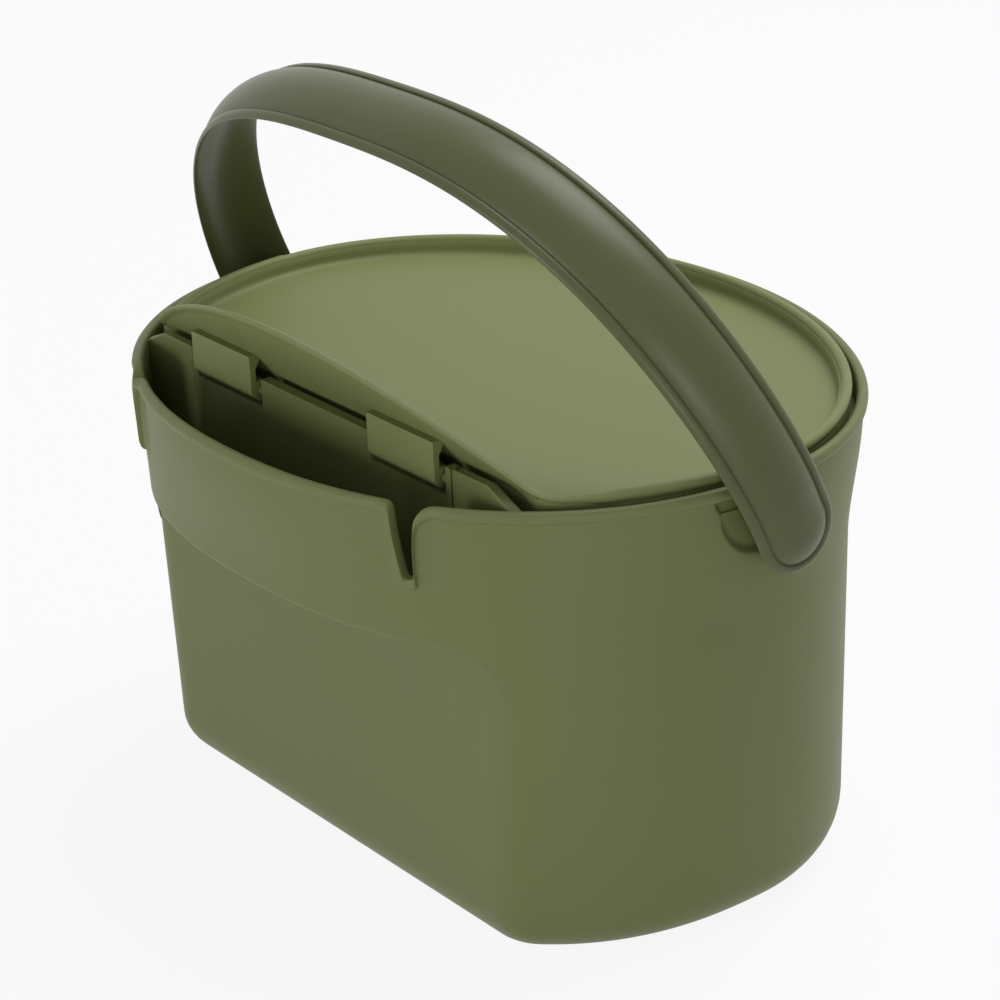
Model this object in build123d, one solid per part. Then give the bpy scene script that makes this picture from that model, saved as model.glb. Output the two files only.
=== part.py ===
from build123d import *
import math
import os

# Driving sizes, in millimetres. X runs along the handle's axis, -Y is the side
# with the pocket, Z is up and zero is the underside of the base.
RIM_HEIGHT = 142.0
HALF_LENGTH = 120.0
FRONT_DEPTH = 101.6
BACK_DEPTH = 93.4
WALL = 2.2

# Bucket walls: half length and depth of each half at the top of the base rounding,
# what the draft adds to them up to the rim, and what the flare under the rim adds.
BASE_ROUND = 14.0
BASE_HALF_LENGTH = HALF_LENGTH - 5.7
BASE_FRONT = FRONT_DEPTH - 5.1
BASE_BACK = BACK_DEPTH - 8.9
LENGTH_DRAFT = 4.2
FRONT_DRAFT = 1.8
BACK_DRAFT = 0.6
LENGTH_FLARE = HALF_LENGTH - BASE_HALF_LENGTH - LENGTH_DRAFT
FRONT_FLARE = FRONT_DEPTH - BASE_FRONT - FRONT_DRAFT
BACK_FLARE = BACK_DEPTH - BASE_BACK - BACK_DRAFT
FLARE_START = RIM_HEIGHT - 42.0
FLARE_END = RIM_HEIGHT - 6.0
BASE_POWER = 2.4
RIM_POWER = 2.2
BASE_BACK_POWER = 2.0
RIM_BACK_POWER = 1.95
WALL_SECTIONS = 14
BASE_ROUND_ANGLES = (90, 60, 30)
OUTLINE_POINTS = 32
RIM_BEAD_HEIGHT = 3.4
RIM_BEAD_OUT = 1.3
RIM_BEAD_BEVEL = 1.2
RIM_BEAD_LOWER_BEVEL = 0.6

# Flat front wall, pocket and divider.
FLAT_WALL_Y = -73.5
POCKET_UNDERSIDE = RIM_HEIGHT - 43.0
POCKET_HALF_WIDTH = 88.0
POCKET_CORNER = 18.0
POCKET_FLOOR = 2.5
DIVIDER_FRONT_Y = FLAT_WALL_Y + 3.6
DIVIDER_THICKNESS = 3.2
DIVIDER_BACK_Y = DIVIDER_FRONT_Y + DIVIDER_THICKNESS
DIVIDER_TOP = RIM_HEIGHT + 3.7
DIVIDER_HALF_WIDTH = 80.0
DIVIDER_CHAMFER_RUN = 11.0
DIVIDER_CHAMFER_DROP = 5.7
LAND_ROOT = 20.0
LAND_REACH = 4.0
NOTCH_X = 66.0
NOTCH_DEPTH = 22.0
NOTCH_BOTTOM_WIDTH = 3.4
NOTCH_TOP_WIDTH = 6.4
NOTCH_LIP_ROUND = 5.0
NOTCH_LIP_CUT = 1.5
CUT_OVER = 5.0

# Panel that snaps into the divider, with the hinge bars.
PANEL_HALF_WIDTH = 64.0
PANEL_GAP = 0.2
TONGUE = 2.0
TONGUE_THICKNESS = 1.2
HINGE_Z = RIM_HEIGHT - 0.5
HINGE_Y = DIVIDER_FRONT_Y + DIVIDER_THICKNESS / 2
BAR_RADIUS = 1.6
BAR_ROOT = 1.0
SLOT_LENGTH = 34.6
SLOT_OUTER_X = PANEL_HALF_WIDTH - 2.5
SLOT_INNER_X = SLOT_OUTER_X - SLOT_LENGTH

# Clips of the lid, which turn on the bars.
CLIP_END_GAP = 2.0
CLIP_INNER_X = SLOT_INNER_X + CLIP_END_GAP
CLIP_OUTER_X = SLOT_OUTER_X - CLIP_END_GAP
CLIP_CLEARANCE = 0.1
CLIP_THICKNESS = 1.6
CLIP_OUTER_RADIUS = BAR_RADIUS + CLIP_CLEARANCE + CLIP_THICKNESS
SLOT_BOTTOM_DROP = CLIP_OUTER_RADIUS + 1.1
CLIP_START = 80.0
CLIP_END = 290.0
CLIP_PLATE_TOP = 11.2
CLIP_PLATE_THICKNESS = 2.0
CLIP_PLATE_GAP = 0.3
CLIP_PLATE_FRONT = max(BAR_RADIUS, DIVIDER_THICKNESS / 2) + CLIP_PLATE_GAP + CLIP_PLATE_THICKNESS
CLIP_GUSSET = 4.0
CLIP_ROOT = 1.0

# Ledge inside the bucket and the seal that hangs over it.
LEDGE_TOP = RIM_HEIGHT - 8.0
LEDGE_THICKNESS = 2.4
LEDGE_OVERLAP = 4.0
LEDGE_BACK = BACK_DEPTH - 0.4
SEAL_THICKNESS = 2.0
SEAL_WIDTH = 3.0
SEAL_INSET = 0.5
SEAL_GAP = 0.3

# Lid.
LID_END_GAP = 1.6
LID_BACK_GAP = 1.8
LID_HALF_LENGTH = HALF_LENGTH - WALL - LID_END_GAP
LID_BACK = BACK_DEPTH - WALL - LID_BACK_GAP
LID_FRONT_CURVE = FRONT_DEPTH + 3.4
LID_FRONT_POWER = 2.0
LID_BACK_POWER = 1.95
LID_FRONT_Y = DIVIDER_BACK_Y + 4.2
LID_CORNER = 6.0
LID_UNDERSIDE = LEDGE_TOP + SEAL_GAP + SEAL_THICKNESS
LID_PLATE = 2.2
LID_EDGE_TOP = RIM_HEIGHT + 1.5
LID_EDGE_WALL = 2.4
DISH_SLOPE_RUN = 9.0
DISH_OVER = 1.0
VISOR_LEAN = 37.7
VISOR_THICKNESS = 2.4
VISOR_TOP = 31.0
VISOR_SIDE_DROP = 27.0
VISOR_HALF_WIDTH = 90.0
VISOR_FILLET = 7.0

# Ears on the bucket and the pegs that turn in them.
PIVOT_Y = -3.3
PIVOT_Z = RIM_HEIGHT - 8.0
EAR_STAND_OUT = 3.2
EAR_FACE_X = HALF_LENGTH + EAR_STAND_OUT
EAR_PLATE_X = EAR_FACE_X - 1.4
EAR_ROOT_X = HALF_LENGTH - 8.0
EAR_ROUND = 12.5
BOSS_RADIUS = 9.0
EAR_TOP_BACK = 12.0
EAR_TOP_FRONT = -18.0
PEG_RADIUS = 4.0
PEG_CLEARANCE = 0.08
PEG_REACH = 3.6
PEG_HOLE_DEPTH = 4.2

# Handle, drawn in its own upright plane and then tilted about the pivot.
HANDLE_TILT = 24.1
HANDLE_GAP = 1.55
HANDLE_RISE = 103.9
HANDLE_SPAN_POWER = 2 / 2.73
HANDLE_RISE_POWER = 2 / 1.65
STRAP_WIDTH = 26.8
STRAP_CROWN = 2.5
STRAP_SHOULDER = 0.6
STRAP_WEB = 2.2
STRAP_FLANGE = 3.4
STRAP_FLANGE_DEPTH = 2.4
HANDLE_HALF_SPAN = HALF_LENGTH + EAR_STAND_OUT + STRAP_FLANGE_DEPTH + HANDLE_GAP
TIP_DROP = 22.0
TIP_OVER = 0.1
ARCH_POINTS = 24

# Strainer plate on its feet, loose in the bottom of the bucket.
STRAINER_HALF_LENGTH = BASE_HALF_LENGTH - WALL - 6.1
STRAINER_BACK = BASE_BACK - WALL - 5.3
STRAINER_FRONT_Y = FLAT_WALL_Y + WALL + 14.8
STRAINER_CORNER = 8.0
STRAINER_THICKNESS = 2.4
STRAINER_LIFT = 12.0
ELLIPSE_POWER = 2.0
STRAINER_HOLE = 2.6
STRAINER_PITCH = 15.0
STRAINER_MARGIN = 8.0
FOOT_RADIUS = 4.0
FOOT_SEAT = 0.05
FOOT_X = 70.0
FOOT_FRONT_Y = -38.0
FOOT_BACK_Y = 42.0

FAR = 300.0


def oval_points(half_length, front, front_power, back, back_power):
    """Points round an oval whose two halves are superellipses of their own depth."""
    points = []
    for step in range(OUTLINE_POINTS):
        angle = 2 * math.pi * (step + 0.5) / OUTLINE_POINTS
        across = math.cos(angle)
        along = math.sin(angle)
        depth, power = (back, back_power) if along > 0 else (front, front_power)
        x = half_length * math.copysign(abs(across) ** (2 / power), across)
        y = depth * math.copysign(abs(along) ** (2 / power), along)
        points.append((x, y))
    return points


def oval_wire(z, half_length, front, front_power, back, back_power):
    """Closed curve through the oval's points at a height."""
    points = oval_points(half_length, front, front_power, back, back_power)
    return Wire([Edge.make_spline([Vector(x, y, z) for x, y in points], periodic=True)])


def bucket_oval(z, inset):
    """Sizes and roundness of the bucket's oval at a height above the base rounding."""
    drafted = (z - BASE_ROUND) / (RIM_HEIGHT - BASE_ROUND)
    share = min(max((z - FLARE_START) / (FLARE_END - FLARE_START), 0), 1)
    flared = share * share * (3 - 2 * share)
    half_length = BASE_HALF_LENGTH + LENGTH_DRAFT * drafted + LENGTH_FLARE * flared
    front = BASE_FRONT + FRONT_DRAFT * drafted + FRONT_FLARE * flared
    back = BASE_BACK + BACK_DRAFT * drafted + BACK_FLARE * flared
    front_power = BASE_POWER + (RIM_POWER - BASE_POWER) * flared
    back_power = BASE_BACK_POWER + (RIM_BACK_POWER - BASE_BACK_POWER) * flared
    return half_length - inset, front - inset, front_power, back - inset, back_power


def bucket_form(inset, top):
    """Solid of the bucket's oval, drawn in by the inset, from the base up to a height."""
    radius = BASE_ROUND - inset
    sections = []
    for angle in BASE_ROUND_ANGLES:
        turned = math.radians(angle)
        drawn_in = inset + radius * (1 - math.cos(turned))
        z = inset + radius * (1 - math.sin(turned))
        sections.append(oval_wire(z, *bucket_oval(BASE_ROUND, drawn_in)))
    for step in range(WALL_SECTIONS + 1):
        z = BASE_ROUND + (RIM_HEIGHT - BASE_ROUND) * step / WALL_SECTIONS
        height = top if step == WALL_SECTIONS else z
        sections.append(oval_wire(height, *bucket_oval(z, inset)))
    return Solid.make_loft(sections)


def block(x0, x1, y0, y1, z0, z1):
    """Box between two corners."""
    return Pos((x0 + x1) / 2, (y0 + y1) / 2, (z0 + z1) / 2) * Box(x1 - x0, y1 - y0, z1 - z0)


def front_profile(points, y0, y1):
    """Prism of an outline given as (x, z), running from y0 to y1."""
    face = Plane.XZ.offset(-y1) * make_face(Polyline(points, close=True))
    return extrude(face, amount=y1 - y0)


def side_profile(points, x0, x1):
    """Prism of an outline given as (y, z), running from x0 to x1."""
    face = Plane.YZ.offset(x0) * make_face(Polyline(points, close=True))
    return extrude(face, amount=x1 - x0)


def across_cylinder(radius, x0, x1, y, z):
    """Cylinder lying along X."""
    return Pos((x0 + x1) / 2, y, z) * Rot(0, 90, 0) * Cylinder(radius, x1 - x0)


def front_cutaway(inset):
    """What is taken away in front of the flat wall, with the wall's base rounding."""
    wall_y = FLAT_WALL_Y + inset
    radius = BASE_ROUND - inset
    round_start = (wall_y, inset + radius)
    round_end = (wall_y + radius, inset)
    corner = TangentArc(round_start, round_end, tangent=(0, -1))
    rest = Polyline(
        round_end,
        (wall_y + radius, -FAR),
        (-FAR, -FAR),
        (-FAR, RIM_HEIGHT),
        (wall_y, RIM_HEIGHT),
        round_start,
    )
    face = Plane.YZ.offset(-FAR) * make_face(corner + rest)
    return extrude(face, amount=2 * FAR)


def band_window():
    """Front outline of the flat wall: level under the pocket, round at both corners."""
    outline = Rectangle(2 * POCKET_HALF_WIDTH, 2 * POCKET_UNDERSIDE)
    outline = fillet(outline.vertices().group_by(Axis.Y)[-1], POCKET_CORNER)
    window = Plane.XZ * outline
    return extrude(window, amount=FAR)


def rim_bead():
    """Bevelled edge that stands a little outside the rim."""
    low = RIM_HEIGHT - RIM_BEAD_HEIGHT
    levels = [
        (low, RIM_BEAD_OUT - RIM_BEAD_LOWER_BEVEL),
        (low + RIM_BEAD_LOWER_BEVEL, RIM_BEAD_OUT),
        (RIM_HEIGHT - RIM_BEAD_BEVEL, RIM_BEAD_OUT),
        (RIM_HEIGHT, RIM_BEAD_OUT - RIM_BEAD_BEVEL),
    ]
    sections = []
    for z, out in levels:
        half_length = HALF_LENGTH + out
        front = FRONT_DEPTH + out
        back = BACK_DEPTH + out
        sections.append(oval_wire(z, half_length, front, RIM_POWER, back, RIM_BACK_POWER))
    return Solid.make_loft(sections, ruled=True)


def rim_notches():
    """Wedge cuts through the pocket band with rounded lips."""
    half_bottom = NOTCH_BOTTOM_WIDTH / 2
    half_top = NOTCH_TOP_WIDTH / 2
    low = RIM_HEIGHT - NOTCH_DEPTH
    lip = RIM_HEIGHT - NOTCH_LIP_ROUND
    cuts = Part()
    for side in (-1, 1):
        outline = [
            (side * (NOTCH_X - half_bottom), low),
            (side * (NOTCH_X - half_top), RIM_HEIGHT + CUT_OVER),
            (side * (NOTCH_X + half_top + NOTCH_LIP_ROUND), RIM_HEIGHT + CUT_OVER),
            (side * (NOTCH_X + half_top + NOTCH_LIP_ROUND), RIM_HEIGHT),
            (side * (NOTCH_X + half_top + NOTCH_LIP_CUT), RIM_HEIGHT - NOTCH_LIP_CUT),
            (side * (NOTCH_X + half_top), lip),
            (side * (NOTCH_X + half_bottom), low),
        ]
        cuts += front_profile(outline, -FAR, DIVIDER_FRONT_Y - CUT_OVER)
    return cuts


def ear(side):
    """Plate at one end of the bucket and the boss on it that the handle's peg turns in."""
    root = side * EAR_ROOT_X
    ends = sorted((root, side * EAR_PLATE_X))
    top = RIM_HEIGHT - RIM_BEAD_BEVEL
    plate = side_profile(
        [
            (EAR_TOP_FRONT, top),
            (EAR_TOP_BACK, top),
            (PIVOT_Y + EAR_ROUND, PIVOT_Z),
            (PIVOT_Y - EAR_ROUND, PIVOT_Z),
        ],
        *ends,
    )
    plate += across_cylinder(EAR_ROUND, *ends, PIVOT_Y, PIVOT_Z) & block(-FAR, FAR, -FAR, FAR, 0, top)
    boss = across_cylinder(BOSS_RADIUS, *sorted((root, side * EAR_FACE_X)), PIVOT_Y, PIVOT_Z)
    return plate + (boss & block(-FAR, FAR, -FAR, FAR, 0, top))


def peg_hole(side):
    """Blind hole in an ear."""
    ends = sorted((side * (EAR_FACE_X - PEG_HOLE_DEPTH), side * (EAR_FACE_X + 1)))
    return across_cylinder(PEG_RADIUS + PEG_CLEARANCE, *ends, PIVOT_Y, PIVOT_Z)


def land_tops():
    """Tops of the divider ends, which stand above the rim and slope down to the wall."""
    z0 = RIM_HEIGHT - LAND_ROOT
    end = DIVIDER_HALF_WIDTH + DIVIDER_CHAMFER_RUN
    lands = Part()
    for side in (-1, 1):
        outline = [
            (side * (PANEL_HALF_WIDTH + PANEL_GAP), z0),
            (side * (PANEL_HALF_WIDTH + PANEL_GAP), DIVIDER_TOP),
            (side * DIVIDER_HALF_WIDTH, DIVIDER_TOP),
            (side * end, DIVIDER_TOP - DIVIDER_CHAMFER_DROP),
            (side * (end + LAND_REACH), DIVIDER_TOP - DIVIDER_CHAMFER_DROP),
            (side * (end + LAND_REACH), z0),
        ]
        lands += front_profile(outline, DIVIDER_FRONT_Y, DIVIDER_BACK_Y)
    return lands & bucket_form(WALL / 2, RIM_HEIGHT + CUT_OVER)


def panel_opening():
    """Gap in the divider for the panel, with a groove at each end for its tongues."""
    half = PANEL_HALF_WIDTH + PANEL_GAP
    groove_half = TONGUE_THICKNESS / 2 + PANEL_GAP / 2
    floor = POCKET_UNDERSIDE + POCKET_FLOOR
    top = DIVIDER_TOP + CUT_OVER
    gap = block(-half, half, DIVIDER_FRONT_Y - CUT_OVER, DIVIDER_BACK_Y + CUT_OVER, floor, top)
    groove = block(-half - TONGUE, half + TONGUE, HINGE_Y - groove_half, HINGE_Y + groove_half, floor, top)
    return gap + groove


def lid_oval(inset):
    """The lid's whole oval, drawn in by the inset."""
    half_length = LID_HALF_LENGTH - inset
    return make_face(
        oval_wire(0, half_length, LID_FRONT_CURVE - inset, LID_FRONT_POWER, LID_BACK - inset, LID_BACK_POWER)
    )


def lid_outline(inset):
    """Plan of the lid: an oval cut straight at the front, drawn in by the inset."""
    oval = lid_oval(inset)
    kept = Pos(0, FAR / 2 + LID_FRONT_Y + inset) * Rectangle(2 * FAR, FAR)
    plan = oval & kept
    corners = plan.vertices().group_by(Axis.Y)[0]
    return fillet(corners, LID_CORNER - inset)


def ledge():
    """Level ring inside the bucket that the seal closes against, rooted in the walls."""
    low = LEDGE_TOP - LEDGE_THICKNESS
    root = WALL / 2
    outline = oval_wire(
        0, HALF_LENGTH - root, FRONT_DEPTH - root, RIM_POWER, LEDGE_BACK - root, RIM_BACK_POWER
    )
    plan = make_face(outline) & (Pos(0, FAR / 2 + HINGE_Y) * Rectangle(2 * FAR, FAR))
    plan = plan - lid_outline(LEDGE_OVERLAP)
    return extrude(Pos(0, 0, low) * plan, amount=LEDGE_THICKNESS)


def bin_body():
    """Bucket with pocket band, divider ends, ledge and ears."""
    outer = bucket_form(0.0, RIM_HEIGHT - RIM_BEAD_BEVEL / 2)
    shell = Part() + outer - (front_cutaway(0.0) & band_window())
    shell += rim_bead()
    shell += ear(1)
    shell += ear(-1)

    inside = bucket_form(WALL, RIM_HEIGHT + CUT_OVER)
    wall_back_y = FLAT_WALL_Y + WALL
    pocket_floor = POCKET_UNDERSIDE + POCKET_FLOOR
    top = DIVIDER_TOP + CUT_OVER
    room = block(-FAR, FAR, DIVIDER_BACK_Y, FAR, 0, top)
    room += block(-FAR, FAR, wall_back_y, DIVIDER_BACK_Y + CUT_OVER, 0, POCKET_UNDERSIDE)
    cavity = inside & room
    cavity = cavity - front_cutaway(WALL)
    pocket = inside & block(-FAR, FAR, -FAR, DIVIDER_FRONT_Y, pocket_floor, top)
    shell = shell - cavity
    shell = shell - pocket
    shell += ledge()
    shell += land_tops()
    shell = shell - panel_opening()
    shell = shell - rim_notches()
    for side in (-1, 1):
        shell = shell - peg_hole(side)
    return shell


def hinge_panel():
    """Middle length of the divider, with tongues at its ends and two hinge bars."""
    half = PANEL_HALF_WIDTH - PANEL_GAP
    floor = POCKET_UNDERSIDE + POCKET_FLOOR + PANEL_GAP
    reach = PANEL_HALF_WIDTH + TONGUE - PANEL_GAP
    tongue_half = TONGUE_THICKNESS / 2
    panel = block(-half, half, DIVIDER_FRONT_Y, DIVIDER_BACK_Y, floor, DIVIDER_TOP)
    panel += block(-reach, reach, HINGE_Y - tongue_half, HINGE_Y + tongue_half, floor, DIVIDER_TOP)
    for side in (-1, 1):
        ends = sorted((side * SLOT_INNER_X, side * SLOT_OUTER_X))
        slot_low = HINGE_Z - SLOT_BOTTOM_DROP
        panel = panel - block(
            *ends, DIVIDER_FRONT_Y - CUT_OVER, DIVIDER_BACK_Y + CUT_OVER, slot_low, DIVIDER_TOP + CUT_OVER
        )
        panel += across_cylinder(BAR_RADIUS, ends[0] - BAR_ROOT, ends[1] + BAR_ROOT, HINGE_Y, HINGE_Z)
    return panel


def visor_profile():
    """Cross section of the visor as (y, z): it leans forward out of the lid's front edge."""
    lean = math.radians(VISOR_LEAN)
    rise = RIM_HEIGHT + VISOR_TOP + CUT_OVER - LID_EDGE_TOP
    run = rise * math.tan(lean)
    level_thickness = VISOR_THICKNESS / math.cos(lean)
    outer_low = (LID_FRONT_Y, LID_EDGE_TOP)
    outer_top = (LID_FRONT_Y - run, LID_EDGE_TOP + rise)
    inner_top = (LID_FRONT_Y - run + level_thickness, LID_EDGE_TOP + rise)
    dish_floor = LID_UNDERSIDE + LID_PLATE
    drop = LID_EDGE_TOP + VISOR_FILLET - dish_floor
    inner_low = (inner_top[0] + (rise - VISOR_FILLET) * math.tan(lean), LID_EDGE_TOP + VISOR_FILLET)
    blend_end = (inner_low[0] + drop, dish_floor - LID_PLATE / 2)
    down_the_lean = (math.sin(lean), -math.cos(lean))
    blend = TangentArc(inner_low, (inner_low[0] + drop, dish_floor), tangent=down_the_lean)
    rest = Polyline(
        (inner_low[0] + drop, dish_floor),
        blend_end,
        (LID_FRONT_Y, dish_floor - LID_PLATE / 2),
        outer_low,
        outer_top,
        inner_top,
        inner_low,
    )
    return make_face(blend + rest)


def visor():
    """Leaning front wall of the lid under its arched top edge."""
    width = 2 * FAR
    wall = extrude(Plane.YZ.offset(-width / 2) * visor_profile(), amount=width)
    side_top = RIM_HEIGHT + VISOR_TOP - VISOR_SIDE_DROP
    half = VISOR_HALF_WIDTH
    low = LID_UNDERSIDE
    arch = ThreePointArc((-half, side_top), (0, RIM_HEIGHT + VISOR_TOP), (half, side_top))
    below = Polyline((half, side_top), (half, low), (-half, low), (-half, side_top))
    elevation = Plane.XZ.offset(-LID_FRONT_Y - FAR) * make_face(arch + below)
    return wall & extrude(elevation, amount=2 * FAR)


def clip(side):
    """Spring clip that grips a hinge bar, on a plate that hangs from the visor."""
    inner = BAR_RADIUS + CLIP_CLEARANCE
    outer = CLIP_OUTER_RADIUS
    open_sector = [(0, 0)]
    for angle in (CLIP_END - 360, (CLIP_END - 360 + CLIP_START) / 2, CLIP_START):
        turned = math.radians(angle)
        open_sector.append((FAR * math.cos(turned), FAR * math.sin(turned)))
    ring = Circle(outer) - Circle(inner) - make_face(Polyline(open_sector, close=True))
    front = -CLIP_PLATE_FRONT
    back = front + CLIP_PLATE_THICKNESS
    above_edge = HINGE_Z + CLIP_PLATE_TOP - LID_EDGE_TOP
    visor_at_top = LID_FRONT_Y - HINGE_Y - above_edge * math.tan(math.radians(VISOR_LEAN))
    plate = make_face(
        Polyline(
            [
                (front, 0),
                (front, CLIP_PLATE_TOP),
                (visor_at_top + CLIP_ROOT, CLIP_PLATE_TOP),
                (visor_at_top + 2 * CLIP_ROOT, CLIP_PLATE_TOP - 2 * CLIP_ROOT),
                (back, CLIP_PLATE_TOP - CLIP_GUSSET),
                (back, 0),
            ],
            close=True,
        )
    )
    ends = sorted((side * CLIP_INNER_X, side * CLIP_OUTER_X))
    section = Plane.YZ.offset(ends[0]) * Pos(HINGE_Y, HINGE_Z) * (ring + plate)
    return extrude(section, amount=ends[1] - ends[0])


def lid():
    """Dish, visor and clips."""
    plate = extrude(Pos(0, 0, LID_UNDERSIDE) * lid_outline(0.0), amount=LID_EDGE_TOP - LID_UNDERSIDE)
    floor = LID_UNDERSIDE + LID_PLATE
    rise = LID_EDGE_TOP - floor
    outward = DISH_SLOPE_RUN / rise
    low_inset = LID_EDGE_WALL + DISH_SLOPE_RUN
    low_face = Pos(0, 0, floor) * dish_outline(low_inset)
    high_face = Pos(0, 0, LID_EDGE_TOP + DISH_OVER) * dish_outline(LID_EDGE_WALL - DISH_OVER * outward)
    dish = loft([low_face, high_face])
    cover = plate - dish
    cover += visor()
    for side in (-1, 1):
        cover += clip(side)
    return cover


def dish_outline(inset):
    """Plan of the dish at one height, straight where it meets the visor."""
    oval = lid_oval(inset)
    kept = Pos(0, FAR / 2 + LID_FRONT_Y + LID_EDGE_WALL) * Rectangle(2 * FAR, FAR)
    return oval & kept


def lid_seal():
    """Soft ring under the lid's edge."""
    low = LID_UNDERSIDE - SEAL_THICKNESS
    outer = extrude(Pos(0, 0, low) * lid_outline(SEAL_INSET), amount=SEAL_THICKNESS)
    inner = extrude(Pos(0, 0, low) * lid_outline(SEAL_INSET + SEAL_WIDTH), amount=SEAL_THICKNESS)
    return outer - inner


def strap_section():
    """Section of the strap: a crowned back between level shoulders, and turned-in edges."""
    half = STRAP_WIDTH / 2
    crown_half = half - STRAP_FLANGE
    crown = ThreePointArc((-crown_half, STRAP_SHOULDER), (0, STRAP_CROWN), (crown_half, STRAP_SHOULDER))
    inner_half = half - STRAP_WEB
    inside = STRAP_SHOULDER - STRAP_WEB
    rest = Polyline(
        (crown_half, STRAP_SHOULDER),
        (half, STRAP_SHOULDER),
        (half, -STRAP_FLANGE_DEPTH),
        (inner_half, -STRAP_FLANGE_DEPTH),
        (inner_half, inside),
        (-inner_half, inside),
        (-inner_half, -STRAP_FLANGE_DEPTH),
        (-half, -STRAP_FLANGE_DEPTH),
        (-half, STRAP_SHOULDER),
        (-crown_half, STRAP_SHOULDER),
    )
    return make_face(crown + rest)


def handle():
    """Hooped strap with round ends and two pegs, tilted forward about the pivot."""
    left_leg = [(-HANDLE_HALF_SPAN, 0, -TIP_DROP), (-HANDLE_HALF_SPAN, 0, -TIP_DROP / 2)]
    arch = []
    for step in range(ARCH_POINTS + 1):
        angle = math.pi * (1 - step / ARCH_POINTS)
        across = math.cos(angle)
        x = HANDLE_HALF_SPAN * math.copysign(abs(across) ** HANDLE_SPAN_POWER, across)
        arch.append((x, 0, HANDLE_RISE * abs(math.sin(angle)) ** HANDLE_RISE_POWER))
    right_leg = [(-x, y, z) for x, y, z in reversed(left_leg)]
    hoop = Spline(*left_leg, *arch, *right_leg)
    start = Plane(origin=hoop @ 0, x_dir=(0, 1, 0), z_dir=hoop % 0)
    strap = sweep(start * strap_section(), path=hoop)
    tip_radius = STRAP_WIDTH / 2 + TIP_OVER
    tip_centre = tip_radius - TIP_DROP
    kept = block(-FAR, FAR, -FAR, FAR, tip_centre, FAR)
    kept += across_cylinder(tip_radius, -FAR, FAR, 0, tip_centre)
    strap = strap & kept
    for side in (-1, 1):
        ends = sorted((side * (EAR_FACE_X - PEG_REACH), side * (HANDLE_HALF_SPAN - STRAP_WEB / 4)))
        strap += across_cylinder(PEG_RADIUS, *ends, 0, 0)
    return Pos(0, PIVOT_Y, PIVOT_Z) * Rot(HANDLE_TILT, 0, 0) * strap


def strainer():
    """Perforated plate on four feet."""
    low = WALL + STRAINER_LIFT
    oval = make_face(
        oval_wire(0, STRAINER_HALF_LENGTH, STRAINER_HALF_LENGTH, ELLIPSE_POWER, STRAINER_BACK, ELLIPSE_POWER)
    )
    plan = oval & (Pos(0, FAR / 2 + STRAINER_FRONT_Y) * Rectangle(2 * FAR, FAR))
    plan = fillet(plan.vertices().group_by(Axis.Y)[0], STRAINER_CORNER)
    holes = []
    count = int(STRAINER_HALF_LENGTH / STRAINER_PITCH)
    for column in range(-count, count + 1):
        for row in range(-count, count + 1):
            x = column * STRAINER_PITCH
            y = row * STRAINER_PITCH
            reach_x = STRAINER_HALF_LENGTH - STRAINER_MARGIN
            reach_y = (STRAINER_BACK if y > 0 else STRAINER_HALF_LENGTH) - STRAINER_MARGIN
            within_oval = (x / reach_x) ** 2 + (y / reach_y) ** 2 < 1
            if within_oval and y > STRAINER_FRONT_Y + STRAINER_MARGIN:
                holes.append(Pos(x, y))
    plan = plan - [place * Circle(STRAINER_HOLE) for place in holes]
    plate = extrude(Pos(0, 0, low) * plan, amount=STRAINER_THICKNESS)
    for x in (-FOOT_X, FOOT_X):
        for y in (FOOT_FRONT_Y, FOOT_BACK_Y):
            bottom = WALL + FOOT_SEAT
            height = low - bottom + STRAINER_THICKNESS / 2
            plate += Pos(x, y, bottom + height / 2) * Cylinder(FOOT_RADIUS, height)
    return plate


PIECES = {
    "bin_body": bin_body,
    "hinge_panel": hinge_panel,
    "lid": lid,
    "lid_seal": lid_seal,
    "handle": handle,
    "strainer": strainer,
}

os.makedirs("parts", exist_ok=True)
for name, make in PIECES.items():
    export_step(make(), f"parts/{name}.step")
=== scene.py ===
import bpy
import bmesh
import math
import numpy as np
from mathutils import Matrix, Vector


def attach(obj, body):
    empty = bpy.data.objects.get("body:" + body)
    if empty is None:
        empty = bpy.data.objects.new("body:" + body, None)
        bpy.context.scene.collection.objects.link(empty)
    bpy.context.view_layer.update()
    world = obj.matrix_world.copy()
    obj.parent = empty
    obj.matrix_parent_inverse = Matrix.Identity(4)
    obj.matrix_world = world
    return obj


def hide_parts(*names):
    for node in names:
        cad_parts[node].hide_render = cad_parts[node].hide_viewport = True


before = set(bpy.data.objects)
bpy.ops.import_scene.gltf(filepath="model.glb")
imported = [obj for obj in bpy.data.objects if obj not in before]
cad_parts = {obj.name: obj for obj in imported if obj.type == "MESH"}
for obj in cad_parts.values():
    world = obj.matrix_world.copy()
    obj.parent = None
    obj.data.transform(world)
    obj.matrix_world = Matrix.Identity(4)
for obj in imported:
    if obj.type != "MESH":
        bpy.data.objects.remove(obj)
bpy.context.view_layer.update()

# Sizes in millimetres, in the model's own frame.
MM = 0.001
RIM_HEIGHT = 142.0
HALF_LENGTH = 120.0
HALF_DEPTH = 100.0
WALL = 2.2
BASE_ROUND = 14.0
BASE_HALF_LENGTH = 114.3
BASE_FRONT = 96.5
BASE_BACK = 84.5
LENGTH_DRAFT = 4.2
FRONT_DRAFT = 1.8
BACK_DRAFT = 0.6
LENGTH_FLARE = 1.5
FRONT_FLARE = 3.3
BACK_FLARE = 8.3
FLARE_START = 100.0
FLARE_END = 136.0
BASE_POWER = 2.4
RIM_POWER = 2.2
BASE_BACK_POWER = 2.0
RIM_BACK_POWER = 1.95
BASE_MIDDLE = (0, 5, 0)

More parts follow.
